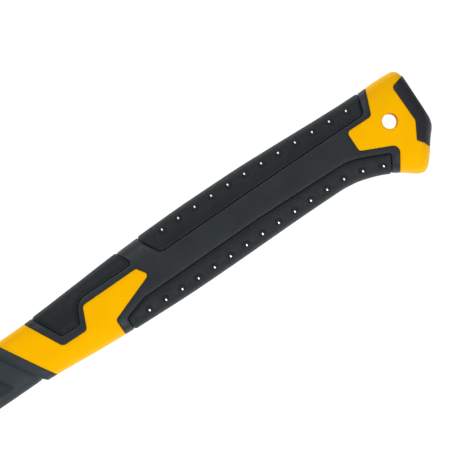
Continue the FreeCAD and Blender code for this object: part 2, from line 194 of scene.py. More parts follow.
# ---- head tables
HEAD_TOP = -697.0
TONGUE = (24.4, 9.4)  # half width and half thickness of the neck's tongue
# The eye: x, half width, half thickness. Its cuts: x, and how far the mouths flare
EYE = [(-697.0, 28.0, 12.2), (-664.0, 25.3, 10.2), (-635.0, 26.0, 10.6)]
EYE_CUTS = [(-699.0, 1.2), (-697.2, 0.9), (-695.8, 0.0)]
EYE_CUTS += [(-680.0, 0.0), (-664.0, 0.0), (-650.0, 0.0)]
EYE_CUTS += [(-636.2, 0.0), (-634.8, 0.9), (-633.0, 1.2)]
EDGE_RADIUS, EDGE_X, EDGE_HALF, BLADE_REACH = 170.0, -660.0, 0.35, 124.0
BEVEL, BLADE_ROUND, TIP_BARE = 10.0, 2.4, 14.0  # TIP_BARE is the unpainted length of the pick
BLADE = [  # distance from the cutting edge, x of the toe's side, x of the heel's side
    (0.0, -712.0, -604.0),
    (20.0, -706.0, -616.6),
    (42.0, -701.6, -626.0),
    (68.0, -698.4, -632.3),
    (96.0, -697.2, -635.0),
]
# Distance from the cutting edge, half thickness
BLADE_THICKNESS = [(0.0, 0.35), (10.0, 2.7), (40.0, 4.8), (66.0, 8.0), (84.0, 12.6), (96.0, 15.6)]
BLOCK = [  # y, middle x, half height, half thickness, corner radius
    (-17.0, -666.0, 31.0, 16.0, 2.6),
    (17.0, -666.0, 31.0, 16.0, 2.6),
    (30.0, -666.0, 30.2, 15.3, 3.2),
    (37.0, -666.0, 27.2, 14.0, 3.8),
    (43.5, -666.2, 21.8, 12.6, 4.0),
    (53.0, -666.5, 18.0, 11.4, 3.4),
    (84.0, -664.5, 12.4, 8.5, 2.6),
    (116.0, -661.0, 6.5, 5.3, 1.7),
    (131.0, -658.7, 3.3, 3.0, 1.2),
    (134.5, -658.2, 2.3, 2.1, 1.0),
    (136.0, -658.0, 1.0, 0.9, 0.5),
]

# Height along the normal by distance from a line, each as (distances, heights)
PAD_RIM = ((0.0, 0.12, 0.3, 0.55, 1.15, 1.35), (-0.68, -0.4, 0.02, 0.14, 0.32, PAD_PROUD))
LINED_RIM = (
    (0.0, 0.12, 0.3, 0.55, 0.85, 1.1, 1.25, 1.4, 1.6),
    (-0.4, -0.2, 0.02, 0.14, 0.2, 0.22, -0.08, 0.22, PAD_PROUD),
)
SHELL_RIM = ((0.0, 0.2, 0.45, 0.7, 1.0), (-0.72, -0.5, -0.12, -0.03, 0.0))
STEP_RIM = (
    (0.0, 0.2, 0.4, 0.6, 0.78, 0.92, 1.06, 1.25),
    (-0.7, -0.46, -0.08, 0.0, -0.03, -0.24, -0.03, 0.0),
)
SEAM_RIM = ((0.0, 0.12, 0.32), (-0.35, -0.07, 0.0))
HOLE_RIM = ((0.0, 0.2, 0.5, 0.9), (-0.6, -0.22, -0.05, 0.0))
STUD_SOCKET = ((0.0, 1.75, 1.86, 2.05), (-0.25, -0.25, -0.06, 0.0))
POCKET_RINGS = ((0.0, 0.4, 1.0, 1.9, 3.2),)  # distances only
COLLAR_RINGS = ((0.0, 0.35, 0.7, 1.05, 1.5),)
RIM_WIDTH = 0.8  # how far the material's rim, where shade or a highlight is painted, reaches in from a piece's outline
EDGE_GAPS = (0.12, 0.3, 0.6, 1.1)  # extra points on an edge, beside a line that crosses it
SHARP = math.radians(28)  # faces that meet at more than this have a sharp edge


# ---- curves and sections
def place(points):
    """Handle coordinates in millimetres to the frame, in metres."""
    return np.asarray(points, float) * MM + ORIGIN


def monotone(xs, ys):
    """Smooth function through the points that never overshoots them."""
    xs, ys = np.asarray(xs, float), np.asarray(ys, float)
    step = np.diff(xs)
    slope = np.diff(ys) / step
    tangent = np.concatenate([slope[:1], np.zeros(len(xs) - 2), slope[-1:]])
    for i in range(1, len(xs) - 1):
        before, after = slope[i - 1], slope[i]
        if before * after > 0:
            near, far = 2 * step[i] + step[i - 1], step[i] + 2 * step[i - 1]
            tangent[i] = (near + far) / (near / before + far / after)

    def curve(x):
        x = np.clip(np.asarray(x, float), xs[0], xs[-1])
        i = np.clip(np.searchsorted(xs, x) - 1, 0, len(step) - 1)
        t = (x - xs[i]) / step[i]
        rise = ys[i] * (1 + 2 * t) * (1 - t) ** 2 + ys[i + 1] * t**2 * (3 - 2 * t)
        turn = step[i] * t * (1 - t) * (tangent[i] * (1 - t) - tangent[i + 1] * t)
        return rise + turn

    return curve


def curves(table):
    """Smooth functions of a table's first column, one for each other column."""
    first, *others = np.array(table).T
    return [monotone(first, other) for other in others]


QUARTER = np.linspace(0.0, 1.0, 241)  # the section's quarter, from the middle of a face to an edge
WIDTH = 3 * FULLNESS * QUARTER * (1 - QUARTER) ** 2 + 3 * QUARTER**2 * (1 - QUARTER) + QUARTER**3
RISE = WIDTH[::-1]
WIDTH_RATE = np.gradient(WIDTH, QUARTER)
RISE_RATE = np.gradient(RISE, QUARTER)
ASPECT = 1.3  # usual width to thickness of the section
TRAVEL = np.concatenate([[0.0], np.cumsum(np.hypot(ASPECT * np.diff(WIDTH), np.diff(RISE)))])
TRAVEL /= TRAVEL[-1]


class Body:
    """A body with a cushion-shaped section that changes along x."""

    def __init__(self, stations):
        self.back, self.belly, self.half = curves(stations)

    def size(self, x):
        """Middle y, half width and half thickness at x."""
        back, belly = self.back(x), self.belly(x)
        return (back + belly) / 2, (back - belly) / 2, self.half(x)

    def girth(self, x):
        """Length of a quarter of the section at x, which is v at the edge."""
        _, reach, half = self.size(x)
        return np.hypot(
            np.multiply.outer(reach, np.diff(WIDTH)), np.multiply.outer(half, np.diff(RISE))
        ).sum(-1)

    def flat(self, x, y):
        """v of the points (x, y) of the upper face."""
        middle, reach, _ = self.size(x)
        share = np.clip((y - middle) / reach, -1, 1)
        return np.sign(share) * np.interp(np.abs(share), WIDTH, TRAVEL) * self.girth(x)

    def plan(self, x, v):
        """y of the points (x, v)."""
        middle, reach, _ = self.size(x)
        share = np.interp(np.clip(np.abs(v) / self.girth(x), 0, 1), TRAVEL, WIDTH)
        return middle + np.sign(v) * reach * share

    def wrap(self, x, v):
        """Points and outward normals of (x, v)."""
        t = np.interp(np.clip(np.abs(v) / self.girth(x), 0, 1), TRAVEL, QUARTER)
        side = np.where(v < 0, -1.0, 1.0)
        width, rise = np.interp(t, QUARTER, WIDTH), np.interp(t, QUARTER, RISE)

        def point(at):
            middle, reach, half = self.size(at)
            return np.stack([at, middle + side * reach * width, half * rise], -1)

        _, reach, half = self.size(x)
        width_rate = side * reach * np.interp(t, QUARTER, WIDTH_RATE)
        rise_rate = half * np.interp(t, QUARTER, RISE_RATE)
        across = np.stack([np.zeros_like(x), width_rate, rise_rate], -1)
        along = point(x + 0.05) - point(x - 0.05)
        normal = np.cross(along, across) * side[:, None]
        return point(x), normal / np.linalg.norm(normal, axis=1)[:, None]


def centred(table):
    """Body whose sections are centred on the axis: x, half width, half thickness."""
    return Body([(x, width, -width, half) for x, width, half in table])


class Neck(Body):
    """The neck, which swells to the grip's size at its slanted collar."""

    def __init__(self, neck, grip):
        self.neck, self.grip = neck, grip

    def size(self, x):
        return self.neck.size(x)

    def wrap(self, x, v):
        """Points and outward normals, blended from the neck to the grip over the collar's step."""
        on_grip = v * self.grip.girth(x) / self.girth(x)
        y = self.grip.plan(x, on_grip)
        gap = BAND_X + BAND_LEAN * y - COLLAR_WIDTH - x
        share = np.clip(1 - gap / COLLAR_STEP, 0, 1)
        share = (share * share * (3 - 2 * share))[:, None]
        low, low_normal = super().wrap(x, v)
        high, high_normal = self.grip.wrap(x, on_grip)
        normal = low_normal * (1 - share) + high_normal * share
        return low * (1 - share) + high * share, normal / np.linalg.norm(normal, axis=1)[:, None]


GRIP = Body(GRIP_STATIONS)
NECK = Neck(centred(NECK_STATIONS), GRIP)


# ---- outlines
def trace(corners, closed=False, step=0.03):
    """Dense points along (x, y, radius) corners with tangent arcs."""
    points = []
    count = len(corners)
    for i, (x, y, radius) in enumerate(corners):
        here = np.array([x, y])
        if radius == 0.0:
            points.append(here[None])
            continue
        before = np.array(corners[i - 1][:2]) - here
        after = np.array(corners[(i + 1) % count][:2]) - here
        before, after = before / np.linalg.norm(before), after / np.linalg.norm(after)
        half = math.acos(np.clip(before @ after, -1, 1)) / 2
        bisector = (before + after) / np.linalg.norm(before + after)
        centre = here + bisector * radius / math.sin(half)
        start, end = (here + way * radius / math.tan(half) - centre for way in (before, after))
        turn = math.atan2(start[0] * end[1] - start[1] * end[0], start @ end)
        angles = np.linspace(0, turn, 24)
        cos, sin = np.cos(angles), np.sin(angles)
        arc = np.stack([start[0] * cos - start[1] * sin, start[0] * sin + start[1] * cos], -1)
        points.append(arc + centre)
    points = np.concatenate(points)
    if closed:
        points = np.concatenate([points, points[:1]])
    return resample(points, step)


def resample(points, step):
    """The same polyline with evenly spaced points."""
    length = np.concatenate([[0.0], np.cumsum(np.linalg.norm(np.diff(points, axis=0), axis=1))])
    count = max(2, int(round(length[-1] / step)) + 1)
    at = np.linspace(0, length[-1], count)
    return np.stack([np.interp(at, length, points[:, i]) for i in (0, 1)], -1)


def on_body(body, path, step=0.45):
    """The stretch of a plan path that lies on the body, as points of the flat sheet."""
    middle, reach, _ = body.size(path[:, 0])
    share = (path[:, 1] - middle) / reach
    kept = np.flatnonzero((np.abs(share) < 1) & (path[:, 0] < 0.0))
    first, last = kept[0], kept[-1]
    x, y = path[first : last + 1].T
    v = body.flat(x, y)
    ends = []
    for at, beyond in ((first, first - 1), (last, last + 1)):
        if not 0 <= beyond < len(path):
            ends.append(None)
        elif path[beyond, 0] >= 0.0:
            ends.append((0.0, float(body.flat(np.zeros(1), path[at, 1:2])[0])))
        else:
            edge_x = float(path[at, 0])
            ends.append((edge_x, math.copysign(float(body.girth(edge_x)), share[at])))
    sheet = np.stack([x, v], -1)
    if ends[0]:
        sheet = np.concatenate([[ends[0]], sheet])
    if ends[1]:
        sheet = np.concatenate([sheet, [ends[1]]])
    return resample(sheet, step)


def distance_to(points, path):
    """Shortest distance from each point to a polyline, both on the flat sheet."""
    start, run = path[:-1], np.diff(path, axis=0)
    square = np.maximum((run**2).sum(1), 1e-12)
    result = np.empty(len(points))
    for low in range(0, len(points), 2000):
        gap = points[low : low + 2000, None] - start
        share = np.clip((gap * run).sum(-1) / square, 0, 1)
        result[low : low + 2000] = np.linalg.norm(gap - share[..., None] * run, axis=-1).min(1)
    return result


def contains(polygon, x, y):
    """Whether each point (x, y) is inside a closed polygon."""
    odd = np.zeros(len(x), bool)
    for (ax, ay), (bx, by) in zip(polygon, np.roll(polygon, -1, axis=0)):
        if ay != by:
            odd ^= ((ay > y) != (by > y)) & (x < (bx - ax) * (y - ay) / (by - ay) + ax)
    return odd


def inside(polygon, holes=()):
    """The region in the polygon and in none of the holes, as a test of points."""

    def region(x, y):
        kept = contains(polygon, x, y)
        for hole in holes:
            kept &= ~contains(hole, x, y)
        return kept

    return region


def between(left, right):
    """Polygon between two lines that both run from the back edge to the belly edge."""
    return np.concatenate([trace(left, step=0.3), trace(right, step=0.3)[::-1]])


SLANT_LINE = [(BAND_X + BAND_LEAN * y, y, 0.0) for y in (BEYOND, -BEYOND)]


def collar(offset):
    """The slanted parting line moved along x, in the y of the neck before it swells."""
    y = np.linspace(BEYOND, -BEYOND, 801)
    x = BAND_X + BAND_LEAN * y + offset
    middle, reach, _ = GRIP.size(x)
    low_middle, low_reach, _ = NECK.size(x)
    return np.stack([x, low_middle + low_reach * (y - middle) / reach], -1)


# ---- patches
def ring_points(path, gaps):
    """Points beside a path, on both sides, at the given distances."""
    way = np.gradient(path, axis=0)
    way /= np.linalg.norm(way, axis=1)[:, None]
    normal = np.stack([-way[:, 1], way[:, 0]], -1)
    return [(gap, path + side * gap * normal) for gap in gaps for side in (1, -1)]


def lowest(x, y, distances, sheet, lines):
    """Height of a piece that only its lines' rims shape."""
    return np.min([shaped(rim, gap) for (_, rim), gap in zip(lines, distances)], axis=0)


def patch(
    name, body, region, lines, height=lowest, grid=1.6, span=None, ends=(), spots=(), skin=None
):
    """A piece of the handle's surface.

    region(x, y) says what belongs to it. lines is a list of (path on the sheet, rim), and the
    distances in the rim's table are also where rings of points go. height gives the height of
    each point. ends are x of cuts square to the handle. spots are (centre, radii) of ringed
    points. skin is the depth of a hollow piece, and without it the piece goes right through.
    """
    paths = [path for path, _ in lines] + [end_cut(body, x) for x in ends]
    low, high = span or (min(p[:, 0].min() for p in paths), max(p[:, 0].max() for p in paths))

    def belongs(sheet, margin=0.0):
        x, v = sheet.T
        return (np.abs(v) < body.girth(x) - margin) & region(x, body.plan(x, v))

    points = list(paths)
    rings = [item for path, rim in lines for item in ring_points(path, rim[0][1:])]
    for gap, ring in rings:
        ring = ring[belongs(ring, 0.25)]
        for path in paths:
            ring = ring[distance_to(ring, path) > 0.93 * gap] if len(ring) else ring
        points.append(ring)
    widest = [max(rim[0][1:], default=0.4) for _, rim in lines] + [0.4] * len(ends)
    rows = []
    reach = float(body.girth(np.linspace(low, high, 60)).max())
    for row, v in enumerate(np.arange(-reach, reach, grid * 0.87)):
        x = np.arange(low + (row % 2) * grid / 2, high, grid)
        rows.append(np.stack([x, np.full_like(x, v)], -1))
    inner = np.concatenate(rows)
    inner = inner[belongs(inner, 0.5 * grid)]
    for path, gap in zip(paths, widest):
        inner = inner[distance_to(inner, path) > gap + 0.4 * grid]
    for centre, radii in spots:
        around = np.linspace(0, 2 * math.pi, 24, endpoint=False)
        inner = inner[np.linalg.norm(inner - centre, axis=1) > radii[-1] + 0.3 * grid]
        for radius in radii:
            points.append(centre + radius * np.stack([np.cos(around), np.sin(around)], -1))
    points.append(inner)

    edges, start = [], 0
    for path in paths:
        edges += [(start + i, start + i + 1) for i in range(len(path) - 1)]
        start += len(path)
    start = sum(len(p) for p in points)
    for side in (1, -1):
        crossings = [p[i, 0] for p in paths for i in (0, -1) if on_edge(body, p[i], side)]
        near = [x + way * gap for x in crossings for gap in (0.0, *EDGE_GAPS) for way in (1, -1)]
        x = np.concatenate([np.arange(low, high, 0.8 * grid), [high], near])
        x = np.unique(np.clip(x, low, high))
        points.append(np.stack([x, side * body.girth(x)], -1))
        edges += [(start + i, start + i + 1) for i in range(len(x) - 1)]
        start += len(x)

    sheet, faces = triangulate(np.concatenate(points), edges, belongs)
    x, v = sheet.T
    distances = [distance_to(sheet, path) for path, _ in lines]
    rise = height(x, body.plan(x, v), distances, sheet, lines)
    spot, normal = body.wrap(x, v)
    outside = spot + normal * rise[:, None]
    rim = np.clip(1 - np.min(distances, axis=0) / RIM_WIDTH, 0, 1)
    seam = np.abs(v) > body.girth(x) - 1e-3
    outside[seam, 2] = 0.0
    return close_patch(name, outside, spot, normal, faces, seam, rim, skin, ends)


def on_edge(body, point, side):
    """Whether a point of the sheet is on the back edge (side 1) or the belly edge (side -1)."""
    return abs(point[1] - side * float(body.girth(point[0]))) < 1e-3


def end_cut(body, x):
    """A cut square to the handle, as points of the sheet."""
    reach = float(body.girth(x))
    v = np.linspace(-reach, reach, int(reach / 0.6))
    return np.stack([np.full_like(v, x), v], -1)


def triangulate(points, edges, belongs):
    """Triangles of the sheet that belong to the piece, all turned the same way."""
    out = delaunay_2d_cdt([Vector(p) for p in points], edges, [], 0, 1e-4)
    sheet = np.array([tuple(p) for p in out[0]])
    faces = np.array([f for f in out[2] if len(f) == 3])
    a, b, c = (sheet[faces[:, i]] for i in range(3))
    area = (b[:, 0] - a[:, 0]) * (c[:, 1] - a[:, 1]) - (b[:, 1] - a[:, 1]) * (c[:, 0] - a[:, 0])
    faces[area < 0] = faces[area < 0][:, ::-1]
    faces = faces[belongs((a + b + c) / 3) & (np.abs(area) > 1e-6)]
    used, faces = np.unique(faces, return_inverse=True)
    return sheet[used], faces.reshape(-1, 3)


def close_patch(name, outside, spot, normal, faces, seam, rim, skin, ends):
    """Mirrors a patch of the upper face and closes it into a solid."""
    count = len(outside)
    layers = [outside]
    if skin:
        under = spot - normal * skin
        under[seam, 2] = 0.0
        layers.append(under)
    points = [side for layer in layers for side in (layer, layer * (1, 1, -1))]
    upper = np.arange(count)
    twin = [np.where(seam, upper, upper + count) + 2 * count * k for k in range(len(layers))]
    offset = 2 * count * len(layers)
    polygons = [faces, twin[0][faces][:, ::-1]]
    if skin:
        polygons += [faces[:, ::-1] + 2 * count, twin[1][faces]]
    polygons = [tuple(f) for group in polygons for f in group]
    rims = [rim, rim] + [np.ones(count)] * (2 if skin else 0)
    directed = {(f[i], f[(i + 1) % 3]) for f in faces for i in range(3)}
    borders = [
        (a, b) for a, b in directed if (b, a) not in directed and not (seam[a] and seam[b])
    ]
    cut = {a for edge in borders for a in edge if any(abs(spot[a, 0] - x) < 1e-6 for x in ends)}
    extra = []
    middle_of = {}

    def middle(a, share):
        """Index of a point on the wall below a border point."""
        if seam[a]:
            return a
        key = (a, share)
        if key not in middle_of:
            middle_of[key] = offset + len(extra)
            extra.append(outside[a] * (1, 1, share))
        return middle_of[key]

    for a, b in borders:
        if a in cut and b in cut:
            continue
        if skin:
            polygons.append((b, a, a + 2 * count, b + 2 * count))
            polygons.append(tuple(twin[0][[a, b]]) + tuple(twin[1][[b, a]]))
            continue
        levels = [(a, b)] + [(middle(a, s), middle(b, s)) for s in (0.9, 0.0, -0.9)]
        levels.append((twin[0][a], twin[0][b]))
        for (a0, b0), (a1, b1) in zip(levels, levels[1:]):
            polygons.append(tuple(dict.fromkeys((b0, a0, a1, b1))))
    points.append(np.array(extra).reshape(-1, 3))
    rims.append(np.zeros(len(extra)))
    polygons = [p for p in polygons if len(set(p)) > 2]
    obj = new_mesh(name, np.concatenate(points), polygons, np.concatenate(rims))
    close_ends(obj, ends)
    return obj


@contextmanager
def editing(obj):
    """The object's mesh as a bmesh, written back at the end."""
    work = bmesh.new()
    work.from_mesh(obj.data)
    yield work
    work.to_mesh(obj.data)
    work.free()


def add_object(name, data):
    obj = bpy.data.objects.new(name, data)
    bpy.context.scene.collection.objects.link(obj)
    return obj


def new_mesh(name, points, polygons, rim=None):
    """Object of points in handle millimetres, with an optional rim value at each point."""
    mesh = bpy.data.meshes.new(name)
    mesh.from_pydata(place(points).tolist(), [], [tuple(int(i) for i in p) for p in polygons])
    if rim is not None:
        layer = mesh.attributes.new("rim", "FLOAT", "POINT")
        layer.data.foreach_set("value", np.asarray(rim, np.float32))
    mesh.polygons.foreach_set("use_smooth", [True] * len(mesh.polygons))
    mesh.validate()
    obj = add_object(name, mesh)
    with editing(obj) as work:
        loose = [v for v in work.verts if not v.link_faces]
        bmesh.ops.delete(work, geom=loose, context="VERTS")
    return obj


def close_ends(obj, ends):
    """Fills the cuts square to the handle, with loops that keep the shading of their edges."""
    with editing(obj) as work:
        for x in ends:
            plane = place([x, 0, 0])[0]
            rim = [e for e in work.edges if e.is_boundary]
            rim = [e for e in rim if all(abs(v.co.x - plane) < 1e-6 for v in e.verts)]
            if not rim:
                continue
            face = bmesh.ops.contextual_create(work, geom=rim)["faces"][0]
            face.smooth = True
            for inset in (0.5, 1.2, 3.0):
                bmesh.ops.inset_region(work, faces=[face], thickness=inset * MM, depth=0.0)
        bmesh.ops.recalc_face_normals(work, faces=work.faces)


def shaped(table, distance):
    """Height at a distance, from a (distances, heights) table."""
    return np.interp(distance, *table)


# ---- handle pieces
def line(corners, rim):
    """A traced outline on the grip's sheet, with its rim."""
    return on_body(GRIP, trace(corners)), rim


def stud_centres(row):
    """Centres of a row of studs on the sheet."""
    count, first, pitch, side = row
    x = first - pitch * np.arange(count)
    edge = (GRIP.back if side > 0 else GRIP.belly)(x) + side * PAD_PROUD
    return np.stack([x, GRIP.flat(x, edge - side * STUD_INSET)], -1)


def make_pad(name, corners, row=None, rim=PAD_RIM):
    """Soft pad with a bevelled rim and a socket round each stud."""
    polygon = trace(corners, step=0.3)
    centres = stud_centres(row) if row else []

    def height(x, y, distances, sheet, lines):
        rise = shaped(rim, distances[0])
        for centre in centres:
            rise = rise + shaped(STUD_SOCKET, np.linalg.norm(sheet - centre, axis=1))
        return rise

    spots = [(centre, (0.9, *STUD_SOCKET[0][1:], 2.8)) for centre in centres]
    return patch(name, GRIP, inside(polygon), [line(corners, rim)], height, spots=spots, skin=2.0)


def sagitta(reach):
    """How far the dome of a stud has fallen at a distance from its axis."""
    return STUD_CURVE - math.sqrt(STUD_CURVE**2 - reach**2)


def make_studs(name, row, around=20):
    """Polished domes standing in a pad, on both faces."""
    centres = stud_centres(row)
    spots, normals = GRIP.wrap(*centres.T)
    normals = normals * (1, STUD_LEAN, 1)
    normals /= np.linalg.norm(normals, axis=1)[:, None]
    shares = (1.0, 0.9, 0.75, 0.57, 0.38, 0.19)
    profile = [(1.0, STUD_FOOT), *((s, STUD_RISE - sagitta(STUD_RADIUS * s)) for s in shares)]
    ring = [
        (STUD_RADIUS * share * math.cos(a), STUD_RADIUS * share * math.sin(a), rise)
        for share, rise in profile
        for a in np.linspace(0, 2 * math.pi, around, endpoint=False)
    ]
    form = np.array(ring + [(0, 0, STUD_RISE), (0, 0, STUD_FOOT)])
    top, foot, last = len(ring), len(ring) + 1, len(ring) - around
    faces = quads(around, [(k, k + 1) for k in range(len(profile) - 1)])
    for i in range(around):
        j = (i + 1) % around
        faces += [(last + i, last + j, top), (j, i, foot)]
    points, polygons = [], []
    for spot, normal in zip(spots, normals):
        side = np.cross(normal, (1.0, 0.0, 0.0))
        dome = form @ np.stack([np.cross(side, normal), side, normal]) + spot
        for flip in (1, -1):
            base = len(points) * len(form)
            points.append(dome * (1, 1, flip))
            polygons += [tuple(base + i for i in face[::flip]) for face in faces]
    obj = new_mesh(name, np.concatenate(points), polygons)
    obj.data.set_sharp_from_angle(angle=SHARP)
    return obj


def make_shell():
    """Charcoal shell with a sunk groove round each pad."""
    pads = [(THUMB_PAD, SHELL_RIM), (BACK_PAD, SHELL_RIM), (BELLY_PAD, STEP_RIM)]
    region = inside(between(BAND_LINE, BUTT_LINE), [trace(pad, step=0.3) for pad, _ in pads])
    lines = [line(BAND_LINE, SEAM_RIM), line(BUTT_LINE, SEAM_RIM)]
    lines += [line(pad, rim) for pad, rim in pads]
    return patch("grip_shell_skin", GRIP, region, lines, skin=3.0)


def make_band():
    """Yellow band between the neck's collar and the shell."""
    return patch(
        "yellow_band",
        GRIP,
        inside(between(SLANT_LINE, BAND_LINE)),
        [line(SLANT_LINE, SEAM_RIM), line(BAND_LINE, SEAM_RIM)],
    )


def make_butt():
    """Yellow butt with its hanging hole."""
    on_butt = inside(between(BUTT_LINE, CAP_LINE))
    around = np.linspace(0, 2 * math.pi, 721)
    circle = np.stack([np.cos(around), np.sin(around)], -1) * HANG_RADIUS + (HANG_X, HANG_Y)
    lines = [
        line(BUTT_LINE, SEAM_RIM),
        line(CAP_LINE, SEAM_RIM),
        (on_body(GRIP, circle, step=0.35), HOLE_RIM),
    ]

    def region(x, y):
        return on_butt(x, y) & (np.hypot(x - HANG_X, y - HANG_Y) > HANG_RADIUS)

    return patch("yellow_butt", GRIP, region, lines, grid=1.3, span=(-50.0, 0.0), ends=(0.0,))


def make_cap():
    """Soft cap over the end of the butt."""
    return patch(
        "butt_cap_soft",
        GRIP,
        inside(between(CAP_LINE, [(40.0, 18.9, 0.0), (40.0, -BEYOND, 0.0)])),
        [line(CAP_LINE, SEAM_RIM)],
        grid=1.1,
        ends=(0.0,),
    )


def pocket_corners(i):
    """Outline of one pocket, with ends parallel to the slanted collar."""
    right = POCKET_FIRST_X - i * POCKET_PITCH
    ends = ((right, -1), (right, 1), (right - POCKET_LENGTH, 1), (right - POCKET_LENGTH, -1))
    half = POCKET_HALF_WIDTH
    return [(x + BAND_LEAN * side * half, side * half, POCKET_CORNER) for x, side in ends]


def make_neck():
    """Neck sleeve with its raised collar and the slanted pockets on both faces."""
    low = NECK_STATIONS[0][0]
    start = trace([(low, BEYOND, 0.0), (low, -BEYOND, 0.0)], step=0.3)
    pockets = [pocket_corners(i) for i in range(POCKET_COUNT)]
    outlines = [trace(corners, closed=True, step=0.3) for corners in pockets]
    lines = [(on_body(NECK, collar(0.0)), SEAM_RIM)]
    lines += [(on_body(NECK, outline, step=0.9), POCKET_RINGS) for outline in outlines]
    for share in (1.0, 0.0, 0.25, 0.5, 0.75):
        rings = COLLAR_RINGS if share == 1.0 else ((0.0,),)
        lines.append((on_body(NECK, collar(-COLLAR_WIDTH - share * COLLAR_STEP)), rings))

    def height(x, y, distances, sheet, lines):
        rise = shaped(SEAM_RIM, distances[0])
        rise = rise - COLLAR_GROOVE * np.exp(-(distances[1 + POCKET_COUNT] ** 2))
        for corners, outline, distance in zip(pockets, outlines, distances[1:]):
            corner_x, corner_y = corners[0][:2]
            run = POCKET_FALL[0] * (corner_x - x) + POCKET_FALL[1] * (y - corner_y)
            ramp = np.maximum(run, 0.0) * POCKET_RAMP
            depth = np.minimum(np.minimum(distance * POCKET_WALL, ramp), POCKET_DEPTH)
            rise = rise - np.where(contains(outline, x, y), depth, 0.0)
        return rise

    return patch(
        "neck_sleeve_skin",
        NECK,
        inside(np.concatenate([start, collar(0.0)[::-1]])),
        lines,
        height,
        grid=2.0,
        span=(low, -225.0),
        ends=(low,),
    )


# ---- lofted pieces
def quads(count, pairs):
    """Quads between rings of count points, for pairs of ring numbers."""
    return [
        (low * count + i, low * count + j, high * count + j, high * count + i)
        for low, high in pairs
        for i, j in zip(range(count), [*range(1, count), 0])
    ]


def loft(name, rings, closed_loop=False):
    """Solid through rings of equal length, with flat caps unless it closes on itself."""
    count, last = len(rings[0]), len(rings) - 1
    pairs = [(k, k + 1) for k in range(last)]
    if closed_loop:
        polygons = quads(count, [*pairs, (last, 0)])
    else:
        polygons = quads(count, pairs)
        polygons += [tuple(range(count))[::-1], tuple(last * count + i for i in range(count))]
    obj = new_mesh(name, np.concatenate(rings), polygons)
    with editing(obj) as work:
        bmesh.ops.recalc_face_normals(work, faces=work.faces)
    return obj


def cushion_ring(body, x, grow, around=96):
    """Closed section of a body at x, grown by grow."""
    middle, reach, half = (float(value) for value in body.size(x))
    t = np.interp(np.linspace(0, 1, around // 4, endpoint=False), TRAVEL, QUARTER)
    width, rise = np.interp(t, QUARTER, WIDTH), np.interp(t, QUARTER, RISE)
    y = np.concatenate([width, rise, -width, -rise])
    z = np.concatenate([rise, -width, -rise, width])
    return np.stack([np.full_like(y, x), middle + (reach + grow) * y, (half + grow) * z], -1)


def make_guard():
    """Ribbed soft sleeve on the neck, below the head."""
    ends = (GUARD_START, GUARD_END)
    stations = np.arange(ends[1], ends[0] + 0.01, 0.5)
    inner, outer = [], []
    for x in stations:
        from_end = min(x - ends[1], ends[0] - x)
        short = 1 - min(from_end / GUARD_ROUND_RUN, 1)
        round_off = GUARD_ROUND * (1 - math.sqrt(max(0.0, 1 - short**2)))
        taper = GUARD_TAPER * max(0.0, 1 - (ends[0] - x) / GUARD_TAPER_RUN) ** 2
        phase = (x - ends[1] - GUARD_RIB_START) / GUARD_RIB_PITCH
        rib = 0.0
        if 0 <= phase < GUARD_RIBS:
            across = abs(phase % 1 - 0.5) * GUARD_RIB_PITCH - GUARD_GROOVE / 2
            wall = min(max(across / GUARD_GROOVE_WALL, 0.0), 1.0)
            rib = GUARD_GROOVE_DEPTH * (1 - wall**1.5)
        outer.append(cushion_ring(NECK.neck, x, GUARD_THICKNESS - round_off - taper - rib))
        inner.append(cushion_ring(NECK.neck, x, 0.1))
    return loft("guard_ribbed", outer + inner[::-1], closed_loop=True)


def make_tongue():
    """End of the neck's tongue, which shows in the top of the eye."""
    tongue = centred([(x, *TONGUE) for x in (HEAD_TOP, NECK_STATIONS[0][0])])
    rings = [cushion_ring(tongue, HEAD_TOP + x, 0.0) for x in (0.9, 0.5)]
    rings = [cushion_ring(tongue, NECK_STATIONS[0][0], 0.0)] + rings
    rings.append(cushion_ring(tongue, HEAD_TOP + 0.35, -0.3))
    return loft("neck_tongue", rings)


def rounded_ring(half_width, half_thickness, radius):
    """Rounded rectangle as points (along, across), the same count for every size."""
    u, w = half_width - radius, half_thickness - radius
    centres = ((u, w), (-u, w), (-u, -w), (u, -w))
    goals = ((-u, half_thickness), (-half_width, -w), (u, -half_thickness), (half_width, w))
    points = []
    for quarter, (centre, goal) in enumerate(zip(centres, goals)):
        for angle in np.linspace(0, math.pi / 2, 7) + quarter * math.pi / 2:
            arc = radius * math.cos(angle), radius * math.sin(angle)
            points.append((centre[0] + arc[0], centre[1] + arc[1]))
        flat = np.array(points[-1])
        for share in np.linspace(0, 1, 5 if quarter % 2 else 25)[1:-1]:
            points.append(tuple(flat + (np.array(goal) - flat) * share))
    return np.array(points)


def blade_ring(gap):
    """Ring of the blade at a distance from the cutting edge, on an arc round the edge's centre."""
    toe_x, heel_x = (float(curve(gap)) for curve in curves(BLADE))
    half = float(curves(BLADE_THICKNESS)[0](gap))
    if gap < BEVEL:
        half = EDGE_HALF + (BLADE_THICKNESS[1][1] - EDGE_HALF) * gap / BEVEL
    reach = EDGE_RADIUS - gap
    toe, heel = (math.asin((x - EDGE_X) / reach) for x in (toe_x, heel_x))
    half_width = reach * (heel - toe) / 2
    ring = rounded_ring(half_width, half, min(0.8 * half, BLADE_ROUND))
    angle = (toe + heel) / 2 + ring[:, 0] / reach
    x = EDGE_X + reach * np.sin(angle)
    y = EDGE_RADIUS - BLADE_REACH - reach * np.cos(angle)
    return np.stack([x, y, ring[:, 1]], -1)


def block_ring(y):
    """Ring of the eye block and the pick at y."""
    middle, half_width, half, radius = (float(curve(y)) for curve in curves(BLOCK))
    ring = rounded_ring(half_width, half, radius)
    return np.stack([middle + ring[:, 0], np.full(len(ring), y), ring[:, 1]], -1)


